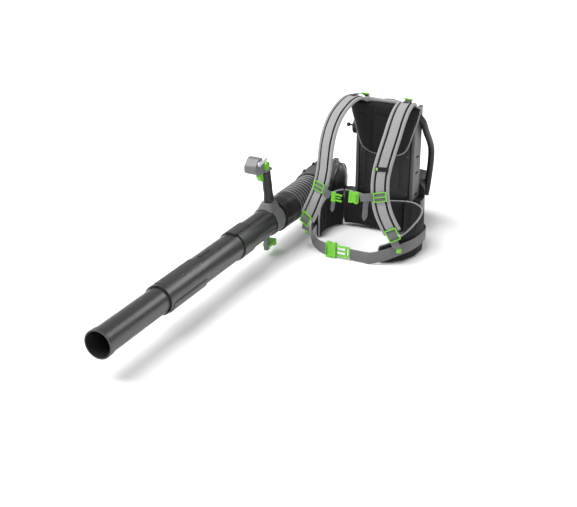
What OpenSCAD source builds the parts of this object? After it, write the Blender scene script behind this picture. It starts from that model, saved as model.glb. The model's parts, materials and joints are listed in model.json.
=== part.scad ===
// Backpack leaf blower: a back frame with harness, a battery and a fan at the base,
// and a blower tube on the wearer's right side.
// +Z is up and the wearer faces -Y, so the wearer's right is -X.
// The origin is on the ground, below the middle of the back plate's front face.

/* [Back frame] */
// Width of the back plate
plate_w = 182; // [176:1:184]
// Height of the back plate's top edge above the ground
plate_top = 438; // [432:1:444]
// Depth of the slotted side rails
rail_depth = 70; // [64:1:72]
// Diameter of the guard bars
bar_d = 22; // [18:1:24]
/* [Fan housing] */
// Width of the fan housing
fan_case_w = 252; // [248:1:256]
// Height of the fan housing's top above the ground
fan_case_top = 166; // [162:1:168]
// Height of the fan shaft above the ground
fan_z = 92; // [90:1:94]
// Outer radius of the fan impeller
impeller_r = 66; // [60:1:68]
// Wall thickness of the moulded shells
wall = 3; // [2.5:0.25:3.5]
/* [Battery] */
// Width of the battery pack
battery_w = 112; // [106:1:114]
// Depth of the battery pack
battery_d = 92; // [88:1:94]
// Height of the battery pack's case
battery_h = 176; // [170:1:178]
/* [Blower tube] */
// Distance of the tube's axis from the middle of the pack
tube_x = 250; // [248:1:254]
// Height of the tube's axis above the ground
tube_z = 114; // [113:1:116]
// Inner radius of the nozzle
nozzle_r = 37.5; // [36:0.25:37.75]
// Distance of the nozzle's tip in front of the back plate
tip_y = 1282; // [1260:1:1290]
// Outer radius of the control pipe
pipe_r = 44.2; // [44:0.1:44.4]
// Outer radius of the hose's pleats
hose_r = 55; // [54:0.5:55.5]
/* [Harness] */
// Width of the padded shoulder straps
strap_w = 58; // [54:1:60]
// Width of the waist webbing
waist_web = 38; // [36:1:40]
// Width of the chest and adjuster webbing
thin_web = 26; // [24:1:28]
/* [Hidden] */
$fn = 64;

// Clearances
run = 0.08;      // radial clearance of a running fit
gap = 0.4;       // clearance between curved neighbours
cut = 1;         // how far a cutter runs past a face
// Colours
dark = [0.10, 0.10, 0.11];
charcoal = [0.22, 0.22, 0.23];
rail_grey = [0.36, 0.36, 0.37];
pad_black = [0.12, 0.12, 0.13];
strap_grey = [0.62, 0.62, 0.62];
web_grey = [0.45, 0.45, 0.46];
vivid_green = [0.42, 0.75, 0.19];
steel = [0.75, 0.75, 0.77];
// Back frame
half_w = plate_w / 2;
plate_t = 22;
rail_t = 12;
rail_bottom = 116;
rail_top = 430;
slot_z = [132, 208, 263];
// Fan housing
case_front = 24;
case_split = 116;
case_back = 196;
case_bottom = 9;
case_r = 58;
shoulder_y = 72;     // the housing is low in front of here, where the rails stand
shoulder_z = 112;
case_taper = 46;     // how much each side comes in towards the back
fan_y = 110;
outlet_y = 60;
outlet_z = 54;
outlet_x = 150;
spigot_r = 44;
// Battery bay
bay_w = battery_w + 14;
bay_front = 34;
bay_d = battery_d + 32;
bay_bottom = 172;
bay_top = 318;
battery_y = bay_front + bay_d / 2 + 6;
battery_bottom = bay_bottom + 8;
// Blower tube, along Y
elbow_front = -45;
hose_front = -225;
cuff_front = -318;
pipe_front = -545;
coupling_back = -515;
mid_front = -1001;
nozzle_back = -872;
knuckle = [-228, 66, 128];
knuckle_r = 64;
// Handle
clamp_y = -349;
clamp_w = 50;
grip_low = [-tube_x, -348, tube_z + 66];
grip_high = [-tube_x, -368, tube_z + 172];
trigger_axis = [-408, tube_z + 177];
cruise_axis = [-454, tube_z + 223];
thumb_axis = [-396, tube_z + 200];
thumb_r = 13.5;
lever_axis = [-366, tube_z - 82];

// A point on a smooth curve through four points
function blend4(a, b, c, d, t) = 0.5 * ((2 * b) + (c - a) * t + (2 * a - 5 * b + 4 * c - d) * t * t
    + (3 * b - a - 3 * c + d) * t * t * t);
// A smooth curve through the points of a route, with a number of steps between each two
function curve(route, steps) = let (n = len(route)) [
    for (i = [0:n - 2])
        for (k = [0:steps - 1])
            blend4(route[max(i - 1, 0)], route[i], route[i + 1], route[min(i + 2, n - 1)], k / steps),
    route[n - 1]];
function unit(v) = v / norm(v);
// Direction of a route at one of its points
function along(route, i) = unit(route[min(i + 1, len(route) - 1)] - route[max(i - 1, 0)]);
// The part of a vector that is square to a direction
function square_to(v, t) = unit(v - (v * t) * t);
// Outline points across a strip or round a cord
function flat_section(w, t) = [[-w / 2, -t / 2], [w / 2, -t / 2], [w / 2, t / 2], [-w / 2, t / 2]];
function round_section(r, sides) = [for (k = [0:sides - 1]) r * [cos(360 * k / sides), sin(360 * k / sides)]];
// Ring of points that an outline makes round a route's point
function ring_at(p, t, across, outline) = let (w = square_to(across, t), s = cross(t, w)) [
    for (q = outline) p + w * q.x + s * q.y];
function mirror_x(route) = [for (p = route) [-p.x, p.y, p.z]];

// A closed solid through a list of rings that all have the same number of points
module skin(rings) {
    m = len(rings[0]);
    n = len(rings);
    polyhedron(
        points = [for (r = rings) each r],
        faces = [
            [for (k = [0:m - 1]) k],
            [for (k = [m - 1:-1:0]) (n - 1) * m + k],
            for (i = [0:n - 2])
                for (k = [0:m - 1])
                    each [
                        [i * m + k, (i + 1) * m + k, (i + 1) * m + (k + 1) % m],
                        [i * m + k, (i + 1) * m + (k + 1) % m, i * m + (k + 1) % m]]]);
}
// A flat strip of cloth or webbing along a route
module strip(route, across, width, thick) {
    skin([for (i = [0:len(route) - 1])
        ring_at(route[i], along(route, i), across, flat_section(width, thick))]);
}
// A round bar or cord along a route
module cord(route, r, sides) {
    skin([for (i = [0:len(route) - 1])
        ring_at(route[i], along(route, i), [0.3, 0.2, 1], round_section(r, sides))]);
}
// A standing pad along a route on the ground plan, with its own height at every point
module wing(route, heights, thick, foot) {
    skin([for (i = [0:len(route) - 1])
        let (t = along(route, i), s = [t.y, -t.x, 0] * thick / 2, p = route[i], h = [0, 0, heights[i]],
            z = [0, 0, foot], in = 0.8)
        [p - s + z * 1.6, p - s * in + z, p + s * in + z, p + s + z * 1.6,
            p + s + h - [0, 0, 6], p + s * in + h, p - s * in + h, p - s + h - [0, 0, 6]]]);
}
module rounded_rect(w, h, r) {
    square([w - 2 * r, h], center = true);
    square([w, h - 2 * r], center = true);
    for (x = [-1, 1], y = [-1, 1])
        translate([x * (w / 2 - r), y * (h / 2 - r)]) circle(r);
}
// A box with rounded upright edges, standing on z
module post(w, d, h, r) {
    linear_extrude(h) rounded_rect(w, d, r);
}
// Things that turn about the tube's axis: local +Z points forward along the tube
module on_tube(y) {
    translate([-tube_x, y, tube_z]) rotate([90, 0, 0]) children();
}
// A plain ring about the tube's axis between two distances in front of the plate
module tube_ring(y_back, y_front, r_out, r_in) {
    on_tube(y_back) rotate_extrude($fn = 96)
        translate([r_in, 0]) square([r_out - r_in, y_back - y_front]);
}
// A piece of a ring, spread evenly about an angle, where 90 degrees is up
module tube_pad(y_back, y_front, r_out, r_in, angle, spread) {
    on_tube(y_back) rotate([0, 0, angle - spread / 2]) rotate_extrude(angle = spread, $fn = 96)
        translate([r_in, 0]) square([r_out - r_in, y_back - y_front]);
}
// A bar along X between two places
module x_rod(x_low, x_high, y, z, r) {
    translate([x_low, y, z]) rotate([0, 90, 0]) cylinder(h = x_high - x_low, r = r);
}

// ---- back frame ----
module back_plate() {
    color(dark) difference() {
        translate([0, plate_t / 2, 20]) post(plate_w, plate_t, plate_top - 20, 8);
        translate([0, plate_t / 2 + wall + 5, 20 + wall])
            post(plate_w - 2 * wall, plate_t, plate_top - 20 - 2 * wall, 6);
        for (x = [-60, -20, 20, 60])
            translate([x - 5, -cut, 150]) cube([10, cut + 1.6, 270]);
        for (x = [-1, 1], z = [139, 268])
            translate([x * (half_w - 9), -cut, z]) rotate([-90, 0, 0]) cylinder(h = 40, r = 2.6);
    }
}
module side_rail(side) {
    x = side * (half_w + gap + rail_t / 2);
    color(rail_grey) difference() {
        translate([x, rail_depth / 2 - 2, rail_bottom])
            post(rail_t, rail_depth, rail_top - rail_bottom, 5.5);
        for (z = slot_z)
            translate([x - rail_t, 22, z - 3.5]) cube([2 * rail_t, 24, 7]);
        translate([x - side * 3, rail_depth / 2 - 2, rail_bottom + 8])
            post(rail_t - 2, rail_depth - 20, 8, 3);
    }
}
guard_route = [[101, 38, 398], [112, 50, 378], [114, 78, 338], [114, 120, 290], [114, 138, 256],
    [114, 138, 210], [114, 126, 164], [115, 112, 130], [115, 100, 108]];
module guard_bar(side) {
    pts = curve(guard_route, 4);
    color(dark) cord(side > 0 ? pts : mirror_x(pts), bar_d / 2, 20);
}
handle_route = [[-58, 40, 384], [-57, 42, 409], [-46, 46, 429], [0, 47, 437], [46, 46, 429], [57, 42, 409],
    [58, 40, 384]];
module carry_handle() {
    color(dark) cord(curve(handle_route, 4), 6.5, 16);
    color(dark) for (x = [-53, 53])
        translate([x, 42, 382]) post(20, 18, 12, 5);
}
module tube_hook() {
    color(dark) {
        difference() {
            x_rod(-118, -104.2, 24, 343, 26);
            x_rod(-118 - cut, -103, 24, 343, 15);
        }
        x_rod(-114, -106, 24, 343, 15.5);
        x_rod(-140, -110, 24, 343, 3.2);
        translate([-142, 24, 343]) sphere(7);
    }
}
module frame_screws() {
    color(steel) for (x = [-1, 1], z = [139, 268])
        translate([x * (half_w - 9), -1.4, z]) rotate([-90, 0, 0]) {
            cylinder(h = 1.4, r = 4.2);
            cylinder(h = 18, r = 2.5);
        }
}
toe_w = 44;       // the rubber toe that steadies the pack under the back plate
toe_reach = 5;
module base_feet() {
    color(dark) {
        for (x = [-1, 1], y = [46, 170])
            translate([x * 52, y, 0]) cylinder(h = case_bottom, r1 = 13, r2 = 15);
        translate([-toe_w / 2, -toe_reach, 0]) cube([toe_w, case_front + 3 * toe_reach, case_bottom]);
    }
}

// ---- fan housing ----
module case_outline(inset) {
    h = fan_case_top - case_bottom;
    translate([0, case_bottom + h / 2])
        rounded_rect(fan_case_w - 2 * inset, h - 2 * inset, case_r - inset);
}
// Half width of the housing seen from above
function case_half(y) = fan_case_w / 2
    - case_taper * pow(max(0, y - 50) / (case_back - 50), 1.2);
module case_plan(inset) {
    front = case_front + inset;
    back = case_back - inset;
    side = [for (y = [50:12:case_back - 14]) [case_half(y) - inset, y]];
    half = concat([[0, front], [case_half(front) - inset, front]], side,
        [[case_half(back) - inset - 3, back - 5], [case_half(back) - inset - 9, back], [0, back]]);
    polygon(half);
    mirror([1, 0]) polygon(half);
}
module case_side(inset) {
    low = case_bottom + inset;
    top = fan_case_top - inset;
    polygon([[case_front + inset, low], [case_front + inset, shoulder_z - inset],
        [shoulder_y + inset, shoulder_z - inset], [shoulder_y + inset + 6, top - 8],
        [shoulder_y + inset + 14, top], [case_back - inset - 12, top], [case_back - inset, top - 10],
        [case_back - inset, low]]);
}
module case_block(y_back, y_front, inset) {
    intersection() {
        translate([0, y_back, 0]) rotate([90, 0, 0])
            linear_extrude(y_back - y_front) case_outline(inset);
        linear_extrude(200) case_plan(inset);
        translate([-150, 0, 0]) rotate([90, 0, 90]) linear_extrude(300) case_side(inset);
    }
}
module fan_housing_front() {
    color(charcoal) difference() {
        union() {
            case_block(case_split, case_front, 0);
            x_rod(-outlet_x + 8, -fan_case_w / 2 + 18, outlet_y, outlet_z, spigot_r + 9);
        }
        case_block(case_split + cut, case_front + wall, wall);
        x_rod(-outlet_x, -fan_case_w / 2 + 30, outlet_y, outlet_z, spigot_r + 2);
    }
}
module fan_housing_rear() {
    color(charcoal) difference() {
        case_block(case_back, case_split + gap / 4, 0);
        case_block(case_back - wall, case_split - cut, wall);
        translate([0, case_back + cut, fan_z]) rotate([90, 0, 0]) cylinder(h = 10, r = 58);
    }
    color(charcoal) translate([0, case_back - wall, fan_z]) rotate([90, 0, 0]) difference() {
        cylinder(h = 12, r = 61);
        translate([0, 0, -cut]) cylinder(h = 14, r = 58);
    }
}
module intake_grille() {
    color(dark) translate([0, case_back + 1.5, fan_z]) rotate([90, 0, 0]) {
        for (r = [16, 30, 44])
            difference() {
                cylinder(h = 4, r = r + 2);
                translate([0, 0, -cut]) cylinder(h = 6, r = r);
            }
        difference() {
            cylinder(h = 5, r = 57.7);
            translate([0, 0, -cut]) cylinder(h = 7, r = 54);
        }
        for (a = [0:30:330])
            rotate([0, 0, a]) translate([8, -1.2, 0]) cube([48, 2.4, 4]);
        cylinder(h = 4, r = 9);
    }
}
module outlet_collar() {
    color(dark) difference() {
        union() {
            x_rod(-outlet_x - 14, -outlet_x + 8, outlet_y, outlet_z, spigot_r + 7);
            x_rod(-outlet_x - 2, -outlet_x + 8, outlet_y, outlet_z, spigot_r + 9);
        }
        x_rod(-outlet_x - 15, -outlet_x + 9, outlet_y, outlet_z, spigot_r + run);
    }
}
module motor_stator() {
    color(steel) translate([0, 168, fan_z]) rotate([90, 0, 0]) difference() {
        cylinder(h = 34, r = 31);
        translate([0, 0, -cut]) cylinder(h = 36, r = 18);
    }
    color(dark) for (a = [45:90:315])
        translate([0, 170, fan_z]) rotate([90, a, 0]) translate([30, -5, 0]) cube([20, 10, 6]);
    color(dark) translate([0, 174, fan_z]) rotate([90, 0, 0]) difference() {
        cylinder(h = 6, r = 52);
        translate([0, 0, -cut]) cylinder(h = 8, r = 46);
    }
    color(dark) for (a = [45:90:315])
        translate([0, 174, fan_z]) rotate([90, a, 0]) translate([44, -4, -16]) cube([5, 8, 20]);
}
module shaft_bearings() {
    color(steel) for (y = [62, 178])
        translate([0, y, fan_z]) rotate([90, 0, 0]) difference() {
            cylinder(h = 8, r = 11);
            translate([0, 0, -cut]) cylinder(h = 10, r = 4 + run);
        }
    color(dark) translate([0, case_front + wall, fan_z]) rotate([-90, 0, 0]) difference() {
        cylinder(h = 35, r = 15);
        translate([0, 0, 27]) cylinder(h = 9, r = 11);
    }
    color(dark) translate([0, 180, fan_z]) rotate([90, 0, 0]) difference() {
        cylinder(h = 10, r = 15);
        translate([0, 0, 2]) cylinder(h = 9, r = 11);
    }
}
module motor_controller() {
    at = [50, 140, case_bottom + wall];
    color(dark) translate(at) post(34, 34, 8, 4);
    color(vivid_green) translate(at + [0, 0, 8]) post(30, 30, 2, 3);
    color(steel) for (x = [-10, 0, 10])
        translate(at + [x - 2.5, -11, 10]) cube([5, 22, 14]);
}
module fan_impeller() {
    color(dark) translate([0, fan_y, fan_z]) rotate([90, 0, 0]) {
        difference() {
            union() {
                cylinder(h = 4, r = impeller_r);
                cylinder(h = 28, r1 = 24, r2 = 14);
            }
            translate([0, 0, -cut]) cylinder(h = 32, r = 4.5);
        }
        for (a = [0:36:324])
            rotate([0, 0, a]) translate([13, 4, 3.5]) rotate([0, 0, 22]) cube([48, 2, 22]);
    }
}
module motor_shaft() {
    color(steel) translate([0, 177.8, fan_z]) rotate([90, 0, 0]) cylinder(h = 123.6, r = 4);
    color(steel) translate([0, 166, fan_z]) rotate([90, 0, 0]) difference() {
        cylinder(h = 30, r = 17.4);
        translate([0, 0, -cut]) cylinder(h = 32, r = 4);
    }
}

// ---- battery ----
module battery_bay() {
    color(charcoal) difference() {
        union() {
            translate([0, bay_front + bay_d / 2, bay_bottom]) post(bay_w, bay_d, bay_top - bay_bottom, 12);
            translate([0, bay_front + 8, bay_bottom]) post(bay_w, 20, 210, 8);
            translate([-(half_w - 4), plate_t + gap, bay_bottom]) cube([plate_w - 8, 10, 200]);
        }
        translate([0, battery_y, battery_bottom - 0.5])
            post(battery_w + 1, battery_d + 1, 300, 10);
        for (z = [196:14:252])
            translate([-40, bay_front + bay_d - 10, z]) cube([80, 14, 5]);
        translate([-16, bay_front + bay_d - 6, bay_top - 46]) cube([32, 8, 26]);
    }
    color(dark) translate([-20, battery_y - battery_d / 2 - 3, battery_bottom + 10]) cube([40, 2.3, 30]);
}
module battery_pack() {
    color(charcoal) difference() {
        union() {
            translate([0, battery_y, battery_bottom]) post(battery_w, battery_d, battery_h - 20, 10);
            translate([0, battery_y, battery_bottom + battery_h - 20])
                post(battery_w - 8, battery_d - 8, 20, 10);
        }
        translate([-30, battery_y - 14, battery_bottom + battery_h - 14]) cube([60, 28, 16]);
        translate([-8, battery_y + battery_d / 2 - 5.5, battery_bottom + 120]) cube([16, 8, 24]);
    }
    color(vivid_green) translate([-battery_w / 2 + 16, battery_y, battery_bottom + battery_h])
        translate([battery_w / 2 - 16, 0, 0]) post(24, 60, 1.2, 6);
}
module battery_latch() {
    color(vivid_green) translate([-13, bay_front + bay_d - 2, bay_top - 42]) cube([26, 7, 18]);
}

// ---- elbow ----
module elbow_solid(less) {
    r_mouth = hose_r + 2.6 - less;
    hull() {
        translate(knuckle) sphere(knuckle_r - less, $fn = 36);
        translate([-tube_x, 30, tube_z]) rotate([90, 0, 0]) cylinder(h = 4, r = r_mouth, $fn = 36);
    }
    hull() {
        translate(knuckle + [14, 2, -14]) sphere(knuckle_r - 14 - less, $fn = 36);
        x_rod(-outlet_x - 38, -outlet_x - 34, outlet_y, outlet_z, spigot_r + 2 - less, $fn = 36);
    }
}
module elbow_shell() {
    color(charcoal) difference() {
        union() {
            elbow_solid(0);
            tube_ring(31, elbow_front, hose_r + 4, hose_r - 4);
            tube_ring(elbow_front + 14, elbow_front, hose_r + 7, hose_r - 4);
            x_rod(-outlet_x - 37, -outlet_x + 4, outlet_y, outlet_z, spigot_r);
            x_rod(-outlet_x - 26, -outlet_x - 17, outlet_y, outlet_z, spigot_r + 7);
            translate([-tube_x - 26, -28, tube_z + hose_r - 9]) cube([48, 66, 15.5]);
            translate([-218, 58, 176]) cube([16, 30, 19]);
        }
        elbow_solid(wall);
        x_rod(-outlet_x - 40, -outlet_x + 5, outlet_y, outlet_z, spigot_r - wall);
        translate([-tube_x, 40, tube_z]) rotate([90, 0, 0]) cylinder(h = 100, r = hose_r - 3.5);
    }
}
module elbow_cover() {
    color(dark) translate(knuckle) rotate([90, 0, 90]) translate([0, 0, 38]) rotate([0, 0, -18])
        rotate_extrude(angle = 216, $fn = 72) polygon([[52, 0], [55.5, 0], [55.5, 5], [52, 5]]);
}
cable_route = [[-288, -28, 154], [-286, -14, 164], [-281, 10, 170], [-276, 38, 175], [-270, 66, 180],
    [-265, 91, 180], [-258, 110, 171], [-251, 123, 156], [-247, 116, 151]];
module control_cable() {
    color(dark) cord(curve(cable_route, 4), 3.5, 10);
}
module cable_clips() {
    color(dark) for (i = [1, 3, 5])
        translate(cable_route[i] + [0.5, 0, -9.8]) rotate([0, 24, 0]) difference() {
            translate([-11, -4, -4]) cube([13, 8, 18]);
            translate([-8.2, -5, 5]) cube([7.4, 10, 7.5]);
        }
}

// ---- hose, cuff and tubes ----
module pleated_hose() {
    pleats = 11;
    back = elbow_front - gap;
    pitch = (back - hose_front - gap) / pleats;
    crest = hose_r;
    root = hose_r - 7;
    skin_t = 2.2;
    outer = [for (k = [0:pleats - 1]) each [
        [root, (k + 0.05) * pitch], [crest, (k + 0.3) * pitch],
        [crest, (k + 0.7) * pitch], [root, (k + 0.95) * pitch]]];
    inner = [for (k = [pleats - 1:-1:0]) each [
        [root - skin_t, (k + 0.95) * pitch], [crest - skin_t, (k + 0.66) * pitch],
        [crest - skin_t, (k + 0.34) * pitch], [root - skin_t, (k + 0.05) * pitch]]];
    color(dark) on_tube(back) rotate_extrude($fn = 96)
        polygon(concat([[root, 0]], outer, [[root, pleats * pitch], [root - skin_t, pleats * pitch]],
            inner, [[root - skin_t, 0]]));
}
module hose_front_cuff() {
    color(dark) {
        tube_ring(hose_front, hose_front - 20, hose_r - 1, hose_r - 9);
        tube_ring(hose_front - 20, hose_front - 52, hose_r - 2, hose_r - 9);
        tube_ring(hose_front - 52, cuff_front, hose_r - 7, pipe_r + run);
        for (k = [0:2])
            tube_ring(hose_front - 56 - k * 13, hose_front - 64 - k * 13, hose_r - 2, pipe_r + run);
        for (a = [20, -25])
            tube_pad(cuff_front + 12, cuff_front + 1, hose_r - 3, hose_r - 8, a, 10);
    }
}
module control_pipe() {
    back = hose_front - 56;
    bead = back - cuff_front + 0.3;
    inner = pipe_r - 2.6;
    color(charcoal) on_tube(back) rotate_extrude($fn = 96)
        polygon([[inner, 0], [pipe_r, 0], [pipe_r, bead], [pipe_r + 0.8, bead], [pipe_r + 0.8, bead + 2],
            [pipe_r, bead + 2], [pipe_r, back - pipe_front], [inner, back - pipe_front]]);
}
module pipe_coupling() {
    color(charcoal) {
        tube_ring(coupling_back - 6, coupling_back - 75, pipe_r + 3.4, pipe_r);
        tube_ring(coupling_back, coupling_back - 6, pipe_r + 1.6, pipe_r);
        tube_pad(coupling_back + 3, coupling_back - 85, pipe_r + 6, pipe_r + 0.2, 90, 44);
    }
}
module mid_tube() {
    r_in = nozzle_r + 1.8 + gap;
    length = pipe_front - mid_front;
    color(charcoal) {
        difference() {
            union() {
                on_tube(pipe_front) rotate_extrude($fn = 96) polygon([
                    [r_in, 0], [pipe_r, 0], [pipe_r - 0.6, 56], [nozzle_r + 5.4, length], [r_in, length]]);
                tube_ring(mid_front + 18, mid_front, nozzle_r + 7.6, r_in);
                for (a = [90, -30, 210])
                    tube_pad(mid_front + 191, mid_front + 12, nozzle_r + 9.6, r_in + 1, a, 46);
                tube_pad(mid_front + 272, mid_front + 216, nozzle_r + 9.6, r_in + 1, 90, 12);
            }
            for (a = [90, -30, 210])
                tube_pad(mid_front + 184, mid_front - 1, r_in + 2.6, r_in - 2, a, 20);
        }
    }
}
module nozzle() {
    r_out = nozzle_r + 1.8;
    color(charcoal) {
        tube_ring(nozzle_back, -tip_y, r_out, nozzle_r);
        tube_ring(-tip_y + 20, -tip_y, nozzle_r + 4.4, nozzle_r);
        for (a = [90, -30, 210])
            tube_pad(mid_front + 52, mid_front + 26, r_out + 2, r_out - 1, a, 14);
    }
}

// ---- handle ----
module handle_clamp() {
    top = clamp_y - clamp_w / 2;
    color(charcoal) difference() {
        union() {
            tube_ring(clamp_y + clamp_w / 2, top, pipe_r + 4, pipe_r + run);
            hull() {
                translate([-tube_x, clamp_y - 4, tube_z + 30]) post(54, clamp_w + 14, 12, 10, $fn = 32);
                translate([-tube_x, clamp_y - 2, tube_z + 56]) post(36, 46, 8, 9, $fn = 32);
            }
            translate([-tube_x - 7, lever_axis.x - 9, tube_z - 98]) cube([14, 18, 56]);
        }
        on_tube(clamp_y + clamp_w) cylinder(h = 2 * clamp_w, r = pipe_r + run, $fn = 96);
        x_rod(-tube_x - 20, -tube_x + 20, lever_axis.x, lever_axis.y, 3 + run);
    }
}
module clamp_pin() {
    color(steel) x_rod(-tube_x - 14, -tube_x + 14, lever_axis.x, lever_axis.y, 3);
}
module clamp_lever() {
    color(vivid_green) difference() {
        union() {
            x_rod(-tube_x - 12, -tube_x + 12, lever_axis.x, lever_axis.y, 7);
            translate([-tube_x - 12, lever_axis.x, lever_axis.y - 6]) cube([24, 40, 12]);
            translate([-tube_x - 12, lever_axis.x + 30, lever_axis.y - 12]) cube([24, 16, 20]);
        }
        translate([-tube_x - 7.3, lever_axis.x - 12, lever_axis.y - 12]) cube([14.6, 36, 24]);
        x_rod(-tube_x - 15, -tube_x + 15, lever_axis.x, lever_axis.y, 3 + run);
    }
}
module grip_rubber() {
    step = (grip_high - grip_low) / 4;
    sizes = [[15, 23], [13, 19], [13.6, 19.5], [13, 18.5], [13, 18.5]];
    color(dark) skin([for (i = [0:4])
        ring_at(grip_low + step * i, unit(step), [1, 0, 0],
            [for (k = [0:23]) [sizes[i].x * cos(15 * k), sizes[i].y * sin(15 * k)]])]);
}
// A side outline, drawn in Y and Z, made into a plate of a width about the tube's middle plane
module side_plate(width) {
    translate([-tube_x - width / 2, 0, 0]) rotate([90, 0, 90]) linear_extrude(width) children();
}
module control_head() {
    y = grip_high.y;
    z = grip_high.z;
    color(charcoal) difference() {
        union() {
            side_plate(42) polygon([[y - 84, z + 14], [y - 100, z + 22], [y - 104, z + 28], [y - 105, z + 42],
                [y - 102, z + 48], [y - 82, z + 65], [y - 76, z + 67], [y - 62, z + 66], [y - 58, z + 62],
                [y - 58, z + 16]]);
            side_plate(30) polygon([[y - 66, z + 8], [y - 66, z + 54], [y - 30, z + 44], [y + 2, z + 16],
                [y + 14, z + 10], [y + 19, z + 3], [y + 18, z + 0.5], [y - 22, z + 0.5], [y - 26, z + 5]]);
            x_rod(-tube_x - 15, -tube_x + 15, thumb_axis.x, thumb_axis.y, thumb_r + 3);
        }
        translate([-tube_x - 7, trigger_axis.x - 20, trigger_axis.y - 20]) cube([14, 32, 28]);
        x_rod(-tube_x - 11, -tube_x + 11, trigger_axis.x, trigger_axis.y, 2 + run);
        x_rod(-tube_x + 8.5, -tube_x + 16, thumb_axis.x, thumb_axis.y, thumb_r + gap);
        translate([-tube_x - 8, thumb_axis.x - 4.3, thumb_axis.y - 4.3]) cube([18, 8.6, 8.6]);
    }
}
module trigger() {
    color(vivid_green) {
        x_rod(-tube_x - 10, -tube_x + 10, trigger_axis.x, trigger_axis.y, 2);
        x_rod(-tube_x - 6, -tube_x + 6, trigger_axis.x, trigger_axis.y, 4.5);
        translate([0, trigger_axis.x, trigger_axis.y]) side_plate(12)
            polygon([[-12, -2], [-14, -8], [-4, -24], [4, -29], [11, -28], [12, -22], [8, -8], [4, 0]]);
    }
}
module thumb_button() {
    color(vivid_green) {
        x_rod(-tube_x + 11.7, -tube_x + 21.8, thumb_axis.x, thumb_axis.y, thumb_r);
        translate([-tube_x - 4, thumb_axis.x - 4, thumb_axis.y - 4]) cube([17, 8, 8]);
    }
}
module cruise_lever() {
    x = -tube_x + 21 + gap;
    color(steel) {
        x_rod(x, x + 5, cruise_axis.x, cruise_axis.y, 7);
        hull() {
            x_rod(x + 1, x + 5, cruise_axis.x, cruise_axis.y, 5.5, $fn = 32);
            x_rod(x + 1, x + 5, cruise_axis.x + 42, cruise_axis.y + 5, 5, $fn = 32);
        }
    }
}

// ---- pads ----
upper_pad_outline = [[0, 268], [50, 274], [76, 290], [90, 320], [102, 362], [114, 398], [122, 432],
    [116, 443], [0, 446]];
pad_middle = 370;
// The pad's outline at a depth, drawn in towards its middle
function pad_ring(y, shrink) = let (h = upper_pad_outline, n = len(h),
    all = concat(h, [for (i = [n - 2:-1:1]) [-h[i].x, h[i].y]]))
    [for (q = all) [q.x * shrink, y, pad_middle + (q.y - pad_middle) * (0.5 + shrink / 2)]];
module upper_pad() {
    color(pad_black) skin([pad_ring(-2.2, 1), pad_ring(-12, 0.99), pad_ring(-20, 0.95), pad_ring(-26.2, 0.87)]);
}
module lumbar_pad() {
    route = [[-128, -24, 0], [-90, -19, 0], [-40, -17, 0], [0, -16, 0], [40, -17, 0], [86, -21, 0]];
    color(pad_black) wing(route, [128, 124, 114, 110, 114, 122], 24, 10);
}
left_wing_route = [[92, -24, 0], [130, -38, 0], [166, -74, 0], [181, -120, 0], [178, -170, 0],
    [160, -216, 0], [132, -246, 0], [98, -262, 0]];
left_wing_heights = [124, 128, 130, 126, 112, 90, 70, 56];
right_wing_route = [[-134, -27, 0], [-152, -44, 0], [-164, -70, 0], [-170, -104, 0], [-168, -138, 0],
    [-158, -166, 0]];
right_wing_heights = [128, 126, 120, 108, 92, 74];
module hip_wing_left() {
    color(pad_black) wing(left_wing_route, left_wing_heights, 17, 2);
}
module hip_wing_right() {
    color(pad_black) wing(right_wing_route, right_wing_heights, 17, 2);
}

// ---- shoulder straps ----
strap_route = [[80, -12, 448], [86, -40, 462], [92, -80, 465], [97, -125, 455], [102, -170, 432],
    [104, -205, 400], [102, -235, 362], [98, -256, 322], [96, -268, 285], [99, -277, 248],
    [106, -284, 212], [118, -287, 178], [132, -284, 146], [146, -279, 118]];
strap_across = [cos(15), sin(15), 0];
strap_t = 9;
module shoulder_strap(side) {
    pts = curve(strap_route, 3);
    across = [side * strap_across.x, strap_across.y, 0];
    color(strap_grey) strip(side > 0 ? pts : mirror_x(pts), across, strap_w, strap_t);
}
lifter_route = [[92, -68, 473], [88, -40, 471], [80, -14, 465], [74, 10, 455], [72, 25, 440]];
module load_lifter_webbing() {
    pts = curve(lifter_route, 3);
    color(dark) for (side = [1, -1])
        strip(side > 0 ? pts : mirror_x(pts), [1, 0, 0], 18, 1.8);
}
module load_lifter_buckles() {
    color(vivid_green) for (side = [1, -1])
        translate([side * 75, 5, 462]) rotate([-22, 0, 0]) difference() {
            translate([-13, -9, -2.5]) cube([26, 18, 5]);
            for (y = [-6.5, 1.5])
                translate([-9.5, y, -4]) cube([19, 5, 8]);
        }
}
// A sliding bar buckle that wraps a strap, square to the strap's direction
module slide_bar(w, h, t) {
    difference() {
        translate([-w / 2, -t / 2, -h / 2]) cube([w, t, h]);
        for (z = [-h / 2 + 3, 1.5])
            translate([-w / 2 + 4, -t, z]) cube([w - 8, 2 * t, h / 2 - 4.5]);
    }
}
chest_at = [104, -288.8, 231];
module chest_sliders() {
    color(vivid_green) for (side = [1, -1])
        translate([side * chest_at.x, chest_at.y, chest_at.z]) rotate([-11, side * -11, side * 15])
            slide_bar(42, 30, 4);
}
chest_left_route = [[84, -298, 231], [70, -301, 229], [56, -300, 226], [41, -297, 222]];
chest_left_tail = [[62, -294, 221], [59, -292, 203], [57, -289, 183], [55, -288, 161], [53, -289, 143]];
chest_right_route = [[-79.5, -299.5, 224], [-76, -300, 222], [-70, -299, 217], [-60, -296, 212]];
chest_right_tail = [[-50, -294, 191], [-53, -291, 179], [-55, -289, 167], [-57, -288, 153]];
module chest_webbing_left() {
    color(web_grey) {
        strip(curve(chest_left_route, 3), [0, 0, 1], thin_web, 1.6);
        strip(curve(chest_left_tail, 3), [1, 0.4, 0], 17, 1.4);
    }
}
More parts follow.
